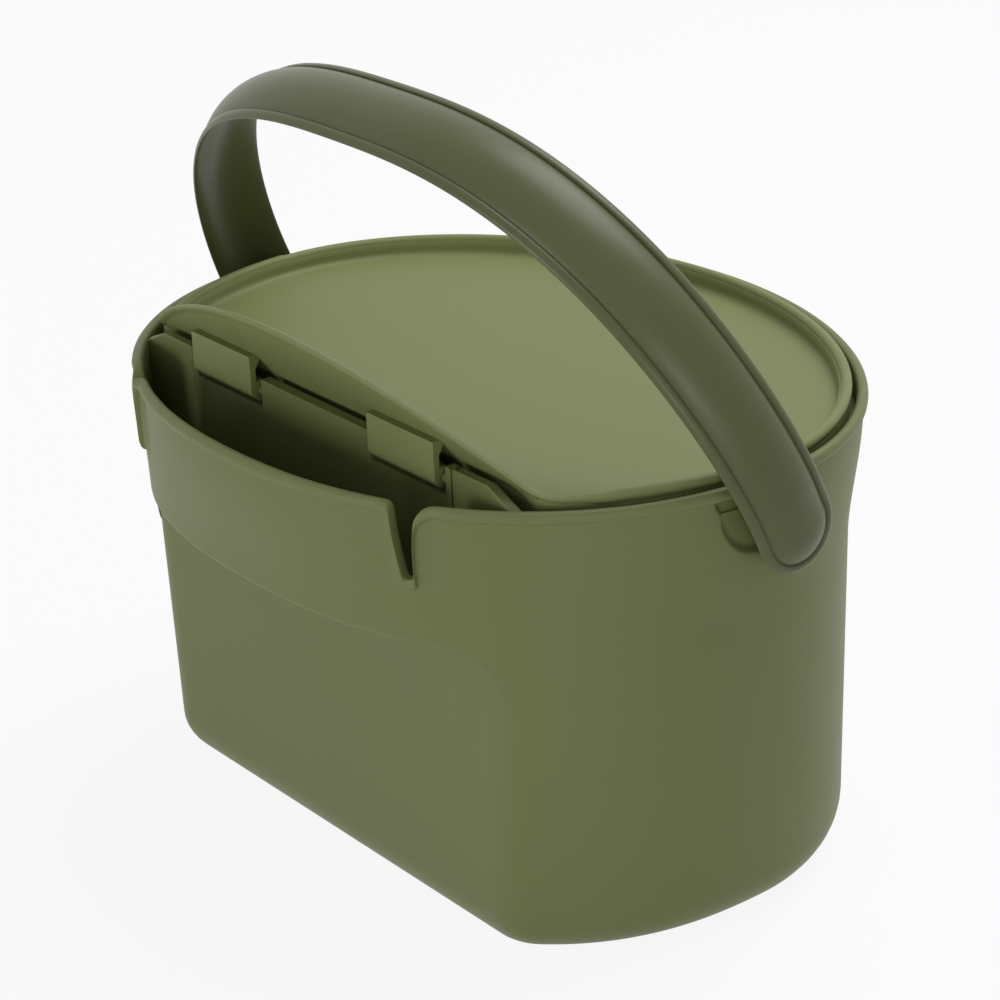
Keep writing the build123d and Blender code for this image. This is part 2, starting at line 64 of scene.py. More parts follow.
# Rim bead as (outward, up) from the rim's top edge, from outside to inside.
RIM_BEAD_FOOT = 3.8
RIM_BEAD = [
    (0.35, -3.5), (0.95, -3.1), (1.25, -2.4), (1.3, -1.6), (1.1, -0.8),
    (0.6, -0.2), (-0.1, 0.0), (-0.9, -0.05), (-1.6, -0.35), (-2.05, -0.9),
]

FLAT_WALL_Y = -73.5
FLAT_WALL_CORNER = 4.5
POCKET_UNDERSIDE = 99.0
POCKET_FLOOR = 2.5
POCKET_HALF_WIDTH = 88.0
POCKET_CORNER = 18.0
CREASE_ROUND = 1.4
DIVIDER_FRONT_Y = -69.9
DIVIDER_BACK_Y = -66.7
DIVIDER_TOP = 145.7
DIVIDER_GAP_X = 64.2
DIVIDER_SLOPE_X = 80.0
DIVIDER_END_X = 90.2
DIVIDER_END_DROP = 5.4
DIVIDER_END_SLANT = 2.6

NOTCH_X = 66.0
NOTCH_DEPTH = 22.0
NOTCH_HALF_BOTTOM = 1.5
NOTCH_HALF_TOP = 3.0
NOTCH_OUTER_LIP = 6.0
NOTCH_INNER_LIP = 1.8
NOTCH_FOLD = 2.2
NOTCH_TROUGH = 5.0
NOTCH_FOLD_HEIGHT = 0.9
NOTCH_TROUGH_DEPTH = 0.35

LEDGE_TOP = 134.0
LEDGE_THICKNESS = 2.4
LEDGE_OVERLAP = 4.0

LID_HALF_LENGTH = 116.2
LID_BACK = 89.4
LID_FRONT_CURVE = 105.0
LID_FRONT_Y = -62.5
LID_FRONT_POWER = 2.02
LID_BACK_POWER = 1.95
LID_CORNER = 5.0
LID_UNDERSIDE = 136.3
LID_EDGE_TOP = 143.4
DISH_FLOOR = 138.5
DISH_RING = 9.0
LID_EDGE_WALL = 3.2
LID_FOOT_DROP = 2.8

# Lid's top edge as (outward, up) from its outer corner, from inside to outside.
LID_BEAD = [
    (-2.9, 0.0), (-2.7, 0.7), (-2.1, 1.3), (-1.3, 1.55), (-0.4, 1.45), (0.25, 0.95),
    (0.45, 0.2), (0.3, -0.7), (-0.1, -1.3), (-0.55, -1.6), (-0.55, -2.3), (-0.15, -2.6),
]
VISOR_LEAN = math.radians(37.7)
VISOR_TOP = 31.0
VISOR_SIDE_DROP = 27.0
VISOR_HALF_WIDTH = 90.0

HINGE_Y = -68.3
HINGE_Z = 141.5
CLIP_ENDS = (28.9, 59.5)
CLIP_INNER_RADIUS = 1.7
CLIP_OUTER_RADIUS = 3.3
CLIP_START = math.radians(80)
CLIP_END = math.radians(290)

PIVOT_Y = -3.3
PIVOT_Z = 134.0
EAR_ROUND = 14.0
EAR_LOW_Y = -6.0
EAR_LOW_Z = 134.0
EAR_TOP_FRONT = -24.5
EAR_TOP_BACK = 15.0
EAR_RECESS = 1.8
BOSS_RADIUS = 9.0
BOSS_ROOT_X = 116.6
BOSS_FACE_X = 123.2
PEG_RADIUS = 4.0
PEG_INNER_X = 119.6
PEG_OUTER_X = 128.2
HANDLE_TILT = math.radians(24.1)
HANDLE_HALF_SPAN = 127.15
HANDLE_RISE = 103.9
HANDLE_SPAN_POWER = 2 / 2.73
HANDLE_RISE_POWER = 2 / 1.65
STRAP_HALF = 13.4
TIP_DROP = 22.0
CROWN_HALF = 10.2
CROWN_LOW = -1.0
CROWN_TOP = 2.5

# Photo's camera: the fit of the rim, base and handle to the photo.
PHOTO_SIDE = 1000
CAMERA_AZIMUTH = math.radians(52.59)
CAMERA_ELEVATION = math.radians(24.05)
CAMERA_ROLL = math.radians(-2.65)
CAMERA_FOCAL = 3010.6
CAMERA_CENTRE_X = 505.5
CAMERA_CENTRE_Y = 353.8
CAMERA_DISTANCE = 900.5
SENSOR_WIDTH = 36

# Studio: lamps as name, place in metres, size and power.
LAMPS = (
    ("overhead", (0.0, 0.7, 1.5), 1.1, 16.5),
    ("front", (-0.1, -1.85, 0.22), 0.7, 10.5),
    ("side", (1.55, -0.85, 0.15), 0.5, 5.5),
)
LAMP_TARGET = (0, 0, 0.1)
WORLD_LIGHT = 0.2
FLOOR_WHITE = 0.9
FLOOR_REACH = 6.0


def smooth_max(a, b, width):
    """The larger of two values, rounded over the stretch where they are nearly equal."""
    close = np.maximum(width - np.abs(a - b), 0) / width
    return np.maximum(a, b) + close * close * width / 4


def smooth_step(value, start, end):
    """0 before start, 1 after end, and an even S curve between them."""
    share = np.clip((value - start) / (end - start), 0, 1)
    return share * share * (3 - 2 * share)


def superellipse(turn, half_length, front, front_power, back, back_power):
    """Points round an oval: each half is a superellipse, front for y below 0 and back above."""
    across = np.cos(turn)
    along = np.sin(turn)
    power = np.where(along > 0, back_power, front_power)
    depth = np.where(along > 0, back, front)
    x = half_length * np.sign(across) * np.abs(across) ** (2 / power)
    y = depth * np.sign(along) * np.abs(along) ** (2 / power)
    return x, y


def wall_point(turn, z, inset, wall_y=None, corner=FLAT_WALL_CORNER):
    """Point of the bucket's wall at a height: the oval, drawn in by the inset and by the
    quarter circle of the base, and held behind the plane wall_y where one is given."""
    z = np.asarray(z, float) + np.zeros_like(turn)
    radius = BASE_ROUND - inset
    below = np.clip(BASE_ROUND - z, 0, radius)
    drawn_in = inset + radius - np.sqrt(np.maximum(radius ** 2 - below ** 2, 0))
    drafted = (np.maximum(z, BASE_ROUND) - BASE_ROUND) / (RIM_HEIGHT - BASE_ROUND)
    flared = smooth_step(z, FLARE_START, FLARE_END)
    x, y = superellipse(
        turn,
        BASE_HALF_LENGTH + LENGTH_DRAFT * drafted + LENGTH_FLARE * flared - drawn_in,
        BASE_FRONT + FRONT_DRAFT * drafted + FRONT_FLARE * flared - drawn_in,
        BASE_POWER + (RIM_POWER - BASE_POWER) * flared,
        BASE_BACK + BACK_DRAFT * drafted + BACK_FLARE * flared - drawn_in,
        BASE_BACK_POWER + (RIM_BACK_POWER - BASE_BACK_POWER) * flared,
    )
    if wall_y is not None:
        y = smooth_max(y, wall_y + (drawn_in if wall_y == FLAT_WALL_Y else 0), corner)
    return np.stack([x, y, z], -1)


def columns():
    """Angles round the bucket, closer together at the rim notches and at the ears."""
    even = np.linspace(-math.pi, math.pi, 361)[:-1]
    near = np.arange(NOTCH_X - 12, NOTCH_X + 14, 0.26) / HALF_LENGTH
    right = -np.arccos(near ** 1.1)
    ear = np.linspace(-0.25, 0.12, 84)
    left_ear = [math.pi - ear[ear > 0], -math.pi - ear[ear < 0]]
    every = np.concatenate([even, right, -math.pi - right, ear, *left_ear])
    return np.unique(np.round(every, 6))


def rim_top(x, y):
    """Height of the rim: level, with a wedge cut on each side of the pocket whose lips
    are quarter circles, wide on the outer side and tight on the inner side."""
    lip = np.linspace(0, math.pi / 2, 9)
    inner_x = -NOTCH_HALF_TOP - NOTCH_INNER_LIP * (1 - np.sin(lip))
    inner_z = -NOTCH_INNER_LIP * (1 - np.cos(lip))
    outer_x = NOTCH_HALF_TOP + NOTCH_OUTER_LIP * (1 - np.sin(lip))
    outer_z = -NOTCH_OUTER_LIP * (1 - np.cos(lip))
    bottom_x = np.array([-NOTCH_HALF_BOTTOM, -0.7, 0.7, NOTCH_HALF_BOTTOM])
    bottom_z = np.array([0.8, 0.0, 0.0, 0.8]) - NOTCH_DEPTH
    along = np.concatenate([inner_x, bottom_x, outer_x[::-1]])
    drop = np.concatenate([inner_z, bottom_z, outer_z[::-1]])
    down = np.interp(np.abs(x) - NOTCH_X, along, drop)
    return RIM_HEIGHT + np.where(y < 0, down, 0)


def crease_height(x, y):
    """Height of the edge under the pocket band: level, then a quarter circle at each end."""
    over = np.clip(np.abs(x) - (POCKET_HALF_WIDTH - POCKET_CORNER), 0, POCKET_CORNER)
    fall = POCKET_CORNER - np.sqrt(POCKET_CORNER ** 2 - over ** 2)
    back_up = POCKET_CORNER * smooth_step(np.abs(x), POCKET_HALF_WIDTH + 2, POCKET_HALF_WIDTH + 18)
    return POCKET_UNDERSIDE - np.where(y < 0, np.maximum(fall - back_up, 0), 0)


def raised_notch_lips(points):
    """Moves the band's skin outwards in a rounded fold along both sides of each notch and
    inwards in a shallow trough beyond it, both fading out at the notch's bottom."""
    x, y, z = points.T
    down = np.clip((RIM_HEIGHT - z) / NOTCH_DEPTH, 0, 1.4)
    half_gap = NOTCH_HALF_TOP + (NOTCH_HALF_BOTTOM - NOTCH_HALF_TOP) * np.minimum(down, 1)
    away = np.maximum(np.abs(np.abs(x) - NOTCH_X) - half_gap, 0)
    fold = np.exp(-(away / NOTCH_FOLD) ** 2) * NOTCH_FOLD_HEIGHT
    trough = np.exp(-((away - NOTCH_TROUGH) / NOTCH_FOLD) ** 2) * NOTCH_TROUGH_DEPTH
    shown = smooth_step(-y, 60, 70) * (1 - smooth_step(down, 0.95, 1.25))
    outward = np.stack([x / HALF_LENGTH ** 2, y / HALF_DEPTH ** 2, 0 * x], -1)
    outward /= np.linalg.norm(outward, axis=1)[:, None] + 1e-9
    return points + outward * ((fold - trough) * shown)[:, None]


def ear_recess(points):
    """Moves the wall inwards inside each ear's outline: a wedge from under the rim bead
    that narrows downwards to the pivot's circle."""
    x, y, z = points.T
    below = np.hypot(y - EAR_LOW_Y, np.minimum(z - EAR_LOW_Z, 0)) - EAR_ROUND
    share = np.clip((z - EAR_LOW_Z) / (RIM_HEIGHT - EAR_LOW_Z), 0, 1)
    front = EAR_LOW_Y - EAR_ROUND + (EAR_TOP_FRONT - EAR_LOW_Y + EAR_ROUND) * share
    back = EAR_LOW_Y + EAR_ROUND + (EAR_TOP_BACK - EAR_LOW_Y - EAR_ROUND) * share
    above = np.maximum(front - y, y - back)
    outside = np.where(z < EAR_LOW_Z, below, above)
    depth = EAR_RECESS * (1 - smooth_step(outside, -0.9, 0.9))
    depth = depth * (np.abs(x) > 100) * (1 - smooth_step(z, RIM_HEIGHT - 4.6, RIM_HEIGHT - 3.6))
    return points - np.stack([np.sign(x) * depth, 0 * x, 0 * x], -1)


def closed_surface(rows):
    """Mesh data of a grid whose rows are closed rings and whose end rows are poles."""
    grid = np.stack(rows)
    count, around = grid.shape[:2]
    index = np.arange(count * around).reshape(count, around)
    following = np.roll(index, -1, axis=1)
    quads = np.stack([index[:-1], following[:-1], following[1:], index[1:]], -1).reshape(-1, 4)
    return grid.reshape(-1, 3), quads


def prism(outline, start, end, axis=0):
    """Mesh data of an outline carried along an axis: both caps and the sides between.
    The outline's two columns are the two axes that follow."""
    outline = np.asarray(outline, float)
    count = len(outline)
    verts = np.zeros((2 * count, 3))
    others = [i for i in range(3) if i != axis]
    verts[:count, axis] = start
    verts[count:, axis] = end
    verts[:count, others] = outline
    verts[count:, others] = outline
    ring = np.arange(count)
    after = np.roll(ring, -1)
    sides = np.stack([ring, after, after + count, ring + count], -1).tolist()
    return verts, sides + [ring[::-1].tolist(), (ring + count).tolist()]


def add_piece(name, parts, body, material, node, bevel=0.0, sharp_angle=38.0):
    """Object made of one or more closed surfaces, given in millimetres."""
    mesh = bpy.data.meshes.new(name)
    verts = []
    faces = []
    offset = 0
    for part_verts, part_faces in parts:
        verts.append(np.asarray(part_verts) * MM)
        faces.extend((np.asarray(face) + offset).tolist() for face in part_faces)
        offset += len(part_verts)
    mesh.from_pydata(np.concatenate(verts).tolist(), [], faces)
    work = bmesh.new()
    work.from_mesh(mesh)
    bmesh.ops.remove_doubles(work, verts=work.verts, dist=2e-6)
    bmesh.ops.recalc_face_normals(work, faces=work.faces)
    work.to_mesh(mesh)
    work.free()
    mesh.shade_smooth()
    mesh.set_sharp_from_angle(angle=math.radians(sharp_angle))
    piece = bpy.data.objects.new(name, mesh)
    bpy.context.scene.collection.objects.link(piece)
    mesh.materials.append(material)
    if bevel:
        rounding = piece.modifiers.new("rounding", "BEVEL")
        rounding.width = bevel * MM
        rounding.segments = 3
        rounding.limit_method = "ANGLE"
        rounding.angle_limit = math.radians(30)
        rounding.harden_normals = False
    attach(piece, body)
    if node:
        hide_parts(node)
    return piece


def bucket_surface():
    """Bucket as one closed skin: from the middle of the base up the outside, out along
    the underside of the pocket band, over the rim bead, down the inside, across the
    pocket floor, and down to the middle of the inner floor."""
    turn = columns()
    rim = wall_point(turn, RIM_HEIGHT, 0)
    top = rim_top(rim[:, 0], rim[:, 1])
    band = wall_point(turn, POCKET_UNDERSIDE, 0)
    crease = crease_height(band[:, 0], band[:, 1])
    rows = [np.zeros((len(turn), 3)) + BASE_MIDDLE]
    for angle in np.linspace(0, math.pi / 2, 11):
        rows.append(wall_point(turn, BASE_ROUND * (1 - math.cos(angle)), 0, FLAT_WALL_Y))
    for share in np.linspace(0, 1, 16)[1:]:
        z = BASE_ROUND + (crease - BASE_ROUND) * share
        rows.append(wall_point(turn, z, 0, FLAT_WALL_Y))
    flat = rows[-1]
    oval = wall_point(turn, crease, 0)
    reach = np.linalg.norm(oval - flat, axis=1)
    for angle in np.linspace(0, math.pi / 2, 6):
        back_from_edge = CREASE_ROUND * (1 - math.sin(angle))
        z = crease + CREASE_ROUND * (1 - math.cos(angle))
        share = np.clip(1 - back_from_edge / np.maximum(reach, 1e-6), 0, 1)[:, None]
        outwards = (wall_point(turn, z, 0) - flat) * share * [1, 1, 0]
        upwards = np.stack([z * 0, z * 0, z - flat[:, 2]], -1)
        rows.append(flat + outwards + upwards)
    start = crease + CREASE_ROUND
    for share in np.linspace(0, 1, 58)[1:]:
        skin = wall_point(turn, start + (top - RIM_BEAD_FOOT - start) * share, 0)
        rows.append(ear_recess(raised_notch_lips(skin)))
    for out, drop in RIM_BEAD:
        skin = wall_point(turn, top + drop, -out)
        rows.append(raised_notch_lips(skin) if out > 0 else skin)
    floor = POCKET_UNDERSIDE + POCKET_FLOOR
    for share in np.linspace(0, 1, 12):
        z = top - 1.8 + (floor + 2 - top + 1.8) * share
        rows.append(wall_point(turn, z, WALL))
    rows.append(wall_point(turn, floor + 0.4, WALL + 0.4))
    rows.append(wall_point(turn, floor, WALL + 2.0))
    rows.append(wall_point(turn, floor, WALL, DIVIDER_BACK_Y, 1.0))
    rows.append(wall_point(turn, POCKET_UNDERSIDE, WALL, DIVIDER_BACK_Y, 1.0))
    for share in np.linspace(0, 1, 8):
        z = POCKET_UNDERSIDE + (BASE_ROUND - POCKET_UNDERSIDE) * share
        rows.append(wall_point(turn, z, WALL, FLAT_WALL_Y))
    for angle in np.linspace(math.pi / 2, 0, 7)[1:]:
        z = BASE_ROUND - (BASE_ROUND - WALL) * math.cos(angle)
        rows.append(wall_point(turn, z, WALL, FLAT_WALL_Y))
    rows.append(np.zeros((len(turn), 3)) + (0, 5, WALL))
    return closed_surface(rows)


def lid_plan(turn, inset):
    """Plan of the lid drawn in by the inset: an oval held behind its straight front."""
    x, y = superellipse(
        turn,
        LID_HALF_LENGTH - inset,
        LID_FRONT_CURVE - inset,
        LID_FRONT_POWER,
        LID_BACK - inset,
        LID_BACK_POWER,
    )
    return x, smooth_max(y, LID_FRONT_Y + inset, LID_CORNER)


def divider_ends():
    """The two ends of the divider: plates whose tops slope down to the bucket's wall."""
    plates = []
    for side in (-1, 1):
        outline = [
            (DIVIDER_GAP_X, POCKET_UNDERSIDE + 1),
            (DIVIDER_GAP_X, DIVIDER_TOP),
            (DIVIDER_SLOPE_X, DIVIDER_TOP),
            (DIVIDER_END_X, DIVIDER_TOP - DIVIDER_END_DROP),
            (DIVIDER_END_X, POCKET_UNDERSIDE + 1),
        ]
        verts, faces = prism([(side * x, z) for x, z in outline], DIVIDER_FRONT_Y, DIVIDER_BACK_Y, axis=1)
        back = verts[:, 1] == DIVIDER_BACK_Y
        end = np.abs(verts[:, 0]) > DIVIDER_SLOPE_X + 1
        verts[back & end, 0] += side * DIVIDER_END_SLANT
        plates.append((verts, faces))
    return plates


def ledge_ring():
    """Ring inside the bucket: a rectangle section from inside the wall to the opening."""
    turn = np.linspace(-math.pi, math.pi, 361)[:-1]
    outer = wall_point(turn, LEDGE_TOP - 1, WALL / 2, DIVIDER_BACK_Y - 0.8, 1.0)
    x, y = lid_plan(turn, LEDGE_OVERLAP)
    inner = np.stack([x, y, y * 0], -1)
    rows = []
    low = -LEDGE_THICKNESS
    for ring, z in ((outer, 0), (outer, low), (inner, low), (inner, 0), (outer, 0)):
        row = ring.copy()
        row[:, 2] = LEDGE_TOP + z
        rows.append(row)
    return closed_surface(rows)


def circle(radius, y, z, count=40):
    """Points of a circle in the plane across the hinge axes."""
    angle = np.linspace(0, 2 * math.pi, count, endpoint=False)
    return np.stack([y + radius * np.cos(angle), z + radius * np.sin(angle)], -1)


def pivot_bosses():
    """The round bosses in the two recesses that the handle's pegs turn in."""
    top = RIM_HEIGHT - 1.2
    boss = [(y, min(z, top)) for y, z in circle(BOSS_RADIUS, PIVOT_Y, PIVOT_Z, 64)]
    return [prism(boss, side * BOSS_ROOT_X, side * BOSS_FACE_X) for side in (-1, 1)]


def lid_surface():
    """Lid as one closed skin. Round the plan, the top edge stands level except over the
    front, where it climbs the leaning visor to an arc. Each column goes from the middle
    of the dish out to the flat's edge, up a curve that is level at the flat and leans
    with the wall at the top, over the bead, down the outside and back underneath."""
    turn = np.unique(np.round(np.concatenate([
        np.linspace(-math.pi, math.pi, 481)[:-1],
        np.linspace(-2.9, -0.24, 420),
    ]), 6))
    x, y = lid_plan(turn, 0)
    arch = VISOR_TOP - VISOR_SIDE_DROP * (x / VISOR_HALF_WIDTH) ** 2 + RIM_HEIGHT - LID_EDGE_TOP
    front = smooth_step(-y, 44.0, 60.0)
    rise = smooth_max(arch * front, 0 * x, 1.5) * (y < 0)
    lean = np.tan(VISOR_LEAN) * rise
    top = np.stack([x, y - lean * front, LID_EDGE_TOP + rise], -1)
    flat_x, flat_y = lid_plan(turn, DISH_RING)
    flat_y = flat_y + 3.0 * front
    flat = np.stack([flat_x, flat_y, flat_x * 0 + DISH_FLOOR], -1)
    edge_x, edge_y = lid_plan(turn, LID_EDGE_WALL)
    inward = np.stack([edge_x - x, edge_y - y, 0 * x], -1)
    inner_top = top + inward - [0, 0, 0.6]
    tall = (rise / VISOR_TOP)[:, None]
    out = np.stack([x - flat_x, y - flat_y, 0 * x], -1)
    out /= np.linalg.norm(out, axis=1)[:, None]
    leaning = np.stack([0 * x, -np.sin(VISOR_LEAN) * front, np.cos(VISOR_LEAN) * front], -1)
    steep = np.stack([out[:, 0] * 0.5, out[:, 1] * 0.5, 0 * x + 0.87], -1) * (1 - front)[:, None] + leaning
    pull_flat = flat + out * (6.6 + 3.0 * tall)
    reach = np.linalg.norm(inner_top - flat, axis=1)[:, None]
    pull_top = inner_top - steep * (reach * 0.42 + 6 * tall)
    middle = np.array([0, 5, DISH_FLOOR])
    rows = []
    for share in (0, 0.3, 0.6, 0.85, 0.96):
        rows.append(middle + (flat - middle) * share)
    for share in np.linspace(0, 1, 18):
        other = 1 - share
        rows.append(
            flat * other ** 3
            + pull_flat * 3 * other ** 2 * share
            + pull_top * 3 * other * share ** 2
            + inner_top * share ** 3
        )
    across = -inward / np.linalg.norm(inward, axis=1)[:, None]
    up = np.stack([0 * x, -np.sin(VISOR_LEAN) * front, 1 - (1 - np.cos(VISOR_LEAN)) * front], -1)
    for out_by, up_by in LID_BEAD:
        rows.append(top + across * out_by + up * (up_by - 0.6))
    bottom_x, bottom_y = lid_plan(turn, 0.2)
    foot = LID_EDGE_TOP - LID_FOOT_DROP + (LID_FOOT_DROP - 0.2) * front
    low_edge = np.stack([bottom_x, bottom_y, foot], -1)
    for share in np.linspace(0, 1, 7)[1:]:
        start = top - up * 3.2 - across * 0.15
        rows.append(start + (low_edge - start) * share)
    rows.append(np.stack([bottom_x, bottom_y, 0 * x + LID_UNDERSIDE + 0.4], -1))
    under_x, under_y = lid_plan(turn, 0.6)
    rows.append(np.stack([under_x, under_y, 0 * x + LID_UNDERSIDE], -1))
    rows.append(np.zeros_like(top) + (0, 5, LID_UNDERSIDE))
    return closed_surface(rows)


def arc_points(radius, angles):
    """Points at the given angles on a circle round the origin."""
    return [(radius * math.cos(angle), radius * math.sin(angle)) for angle in angles]


def clip_outline():
    """Section of a clip: an open ring round the hinge bar and the plate up to the visor."""
    outside = np.linspace(CLIP_START, math.pi, 12)[:7]
    inside = np.linspace(math.pi - 0.05, CLIP_START, 12)
    low_out = np.linspace(math.pi + 0.25, CLIP_END, 14)
    low_in = np.linspace(CLIP_END, math.pi + 0.1, 14)
    upper = arc_points(CLIP_OUTER_RADIUS, outside)
    upper_in = arc_points(CLIP_INNER_RADIUS, inside)
    lower = arc_points(CLIP_OUTER_RADIUS, low_out)
    lower_in = arc_points(CLIP_INNER_RADIUS, low_in)
    plate_back = [(-1.9, 6.8), (-1.9, 3.2)]
    plate_front = [(-0.2, 9.6), (-1.2, 11.2), (-3.9, 11.2), (-3.9, -0.6)]
    points = lower_in[::-1] + lower[::-1] + plate_front[::-1] + plate_back + upper[::-1] + upper_in[::-1]
    return [(HINGE_Y + a, HINGE_Z + b) for a, b in points]


def strap_skin():
    """Section of the strap as (across, outward, inward): its outer skin from the middle to
    the edge, a steep crown, a fine groove and a slanted band, then its hollow underside
    back to the middle."""
    x = np.linspace(0, CROWN_HALF, 17)
    crown = np.stack([x, CROWN_LOW + (CROWN_TOP - CROWN_LOW) * (1 - (x / CROWN_HALF) ** 2) ** 0.8], -1)
    band = [
        (10.35, -1.12), (10.5, -1.1), (10.62, -0.8), (10.9, -0.62), (11.6, -0.66), (12.5, -1.0),
        (13.1, -1.5), (13.4, -2.05), (13.3, -2.35), (12.9, -2.45), (12.0, -2.42), (10.6, -2.25),
    ]
    under = [(9.0, -1.85), (7.5, -1.35), (6.0, -0.85), (4.5, -0.4), (3.0, -0.05), (1.5, 0.13), (0.0, 0.2)]
    return np.concatenate([crown, band, under])


def handle_surface():
    """Handle as one closed skin: the section carried along a superellipse hoop with
    straight ends, and turned half round at each tip like a fan, so that crown, groove and
    band run round the tip."""
    angle = np.linspace(math.pi, 0, 1200)
    across = np.cos(angle)
    hoop_x = HANDLE_HALF_SPAN * np.sign(across) * np.abs(across) ** HANDLE_SPAN_POWER
    hoop_z = HANDLE_RISE * np.abs(np.sin(angle)) ** HANDLE_RISE_POWER
    tip_centre = STRAP_HALF - TIP_DROP
    legs = np.linspace(tip_centre, 0, 30)[:-1]
    path_x = np.concatenate([legs * 0 - HANDLE_HALF_SPAN, hoop_x, legs * 0 + HANDLE_HALF_SPAN])
    path_z = np.concatenate([legs, hoop_z, legs[::-1]])
    length = np.concatenate([[0], np.cumsum(np.hypot(np.diff(path_x), np.diff(path_z)))])
    at = np.linspace(0, length[-1], 210)
    x = np.interp(at, length, path_x)
    z = np.interp(at, length, path_z)
    smooth_x = np.convolve(np.pad(path_x, 12, "edge"), np.ones(25) / 25, "valid")
    smooth_z = np.convolve(np.pad(path_z, 12, "edge"), np.ones(25) / 25, "valid")
    direction_x = np.interp(at, length, np.gradient(smooth_x, length))
    direction_z = np.interp(at, length, np.gradient(smooth_z, length))
    size = np.hypot(direction_x, direction_z)
    direction_x, direction_z = direction_x / size, direction_z / size
    direction_x[[0, -1]] = 0
    direction_z[[0, -1]] = 1, -1
    half = strap_skin()
    sides = np.concatenate([half[::-1] * [-1, 1], half[1:-1]])
    rows = []
    for place, outward, fan in (
        [((x[0], 0, z[0]), (-1, 0, 0), turn) for turn in np.linspace(math.pi / 2, 0, 25)[:-1]]
        + [((x[i], 0, z[i]), (-direction_z[i], 0, direction_x[i]), 0) for i in range(len(at))]
        + [((x[-1], 0, z[-1]), (1, 0, 0), turn) for turn in np.linspace(0, math.pi / 2, 25)[1:]]
    ):
        reach = sides[:, :1]
        rows.append(
            np.array(place)
            + reach * math.cos(fan) * [0, 1, 0]
            - np.abs(reach) * math.sin(fan) * [0, 0, 1]
            + sides[:, 1:] * outward
        )
    verts, faces = closed_surface(rows)
    return tilt(verts), faces


def tilt(verts):
    """Turns points from the handle's upright plane to its rest tilt about the pivot."""
    y = PIVOT_Y + verts[:, 1] * math.cos(HANDLE_TILT) - verts[:, 2] * math.sin(HANDLE_TILT)
    z = PIVOT_Z + verts[:, 1] * math.sin(HANDLE_TILT) + verts[:, 2] * math.cos(HANDLE_TILT)
    return np.stack([verts[:, 0], y, z], -1)


def handle_pegs():
    """The two pegs on the inside of the handle's ends."""
    pegs = []
    for side in (-1, 1):
        verts, faces = prism(circle(PEG_RADIUS, 0, 0, 48), side * PEG_INNER_X, side * PEG_OUTER_X)
        pegs.append((tilt(verts), faces))
    return pegs


def moulded_grain():
    """Node group: fine moulded texture, soft cloudiness of tone and faint handling marks."""
    group = bpy.data.node_groups.new("moulded_grain", "ShaderNodeTree")
    face = group.interface
    face.new_socket("Colour", in_out="INPUT", socket_type="NodeSocketColor")
    face.new_socket("Cloudiness", in_out="INPUT", socket_type="NodeSocketFloat")
    face.new_socket("Roughness", in_out="INPUT", socket_type="NodeSocketFloat")
    face.new_socket("Colour", in_out="OUTPUT", socket_type="NodeSocketColor")
    face.new_socket("Roughness", in_out="OUTPUT", socket_type="NodeSocketFloat")
    face.new_socket("Height", in_out="OUTPUT", socket_type="NodeSocketFloat")
    nodes, links = group.nodes, group.links
    entry = nodes.new("NodeGroupInput")
    leave = nodes.new("NodeGroupOutput")
    place = nodes.new("ShaderNodeTexCoord")
    cloud = nodes.new("ShaderNodeTexNoise")
    cloud.inputs["Scale"].default_value = 22
    cloud.inputs["Detail"].default_value = 3
    grain = nodes.new("ShaderNodeTexNoise")
    grain.inputs["Scale"].default_value = 2600
    grain.inputs["Detail"].default_value = 2
    for noise in (cloud, grain):
        links.new(place.outputs["Object"], noise.inputs["Vector"])
    centred = nodes.new("ShaderNodeMath")
    centred.operation = "SUBTRACT"
    links.new(cloud.outputs["Fac"], centred.inputs[0])
    centred.inputs[1].default_value = 0.5
    tone = nodes.new("ShaderNodeMath")
    tone.operation = "MULTIPLY_ADD"
    links.new(centred.outputs[0], tone.inputs[0])
    links.new(entry.outputs["Cloudiness"], tone.inputs[1])
    tone.inputs[2].default_value = 1.0
    tinted = nodes.new("ShaderNodeVectorMath")
    tinted.operation = "SCALE"
    links.new(entry.outputs["Colour"], tinted.inputs[0])
    links.new(tone.outputs[0], tinted.inputs["Scale"])
    links.new(tinted.outputs[0], leave.inputs["Colour"])
    rough = nodes.new("ShaderNodeMath")
    rough.operation = "MULTIPLY_ADD"
    links.new(centred.outputs[0], rough.inputs[0])
    rough.inputs[1].default_value = 0.12
    links.new(entry.outputs["Roughness"], rough.inputs[2])
    links.new(rough.outputs[0], leave.inputs["Roughness"])
    links.new(grain.outputs["Fac"], leave.inputs["Height"])
    return group


def plastic(name, colour, roughness, cloudiness, grain_height, specular=0.4):
    """Moulded plastic in one colour, given as linear red, green and blue."""
    material = bpy.data.materials.new(name)
    material.use_nodes = True
    nodes, links = material.node_tree.nodes, material.node_tree.links
    shader = nodes["Principled BSDF"]
    shader.inputs["Specular IOR Level"].default_value = specular
    surface = nodes.new("ShaderNodeGroup")
    surface.node_tree = GRAIN
    surface.inputs["Colour"].default_value = (*colour, 1)
    surface.inputs["Cloudiness"].default_value = cloudiness
    surface.inputs["Roughness"].default_value = roughness
    links.new(surface.outputs["Colour"], shader.inputs["Base Color"])
    links.new(surface.outputs["Roughness"], shader.inputs["Roughness"])
    bump = nodes.new("ShaderNodeBump")
    bump.inputs["Strength"].default_value = grain_height
    bump.inputs["Distance"].default_value = 0.00004
    links.new(surface.outputs["Height"], bump.inputs["Height"])
    links.new(bump.outputs["Normal"], shader.inputs["Normal"])
    return material


def finish_node(node, material):
    """Gives a carried-over piece its material."""
    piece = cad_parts[node]
    piece.data.materials.clear()
    piece.data.materials.append(material)


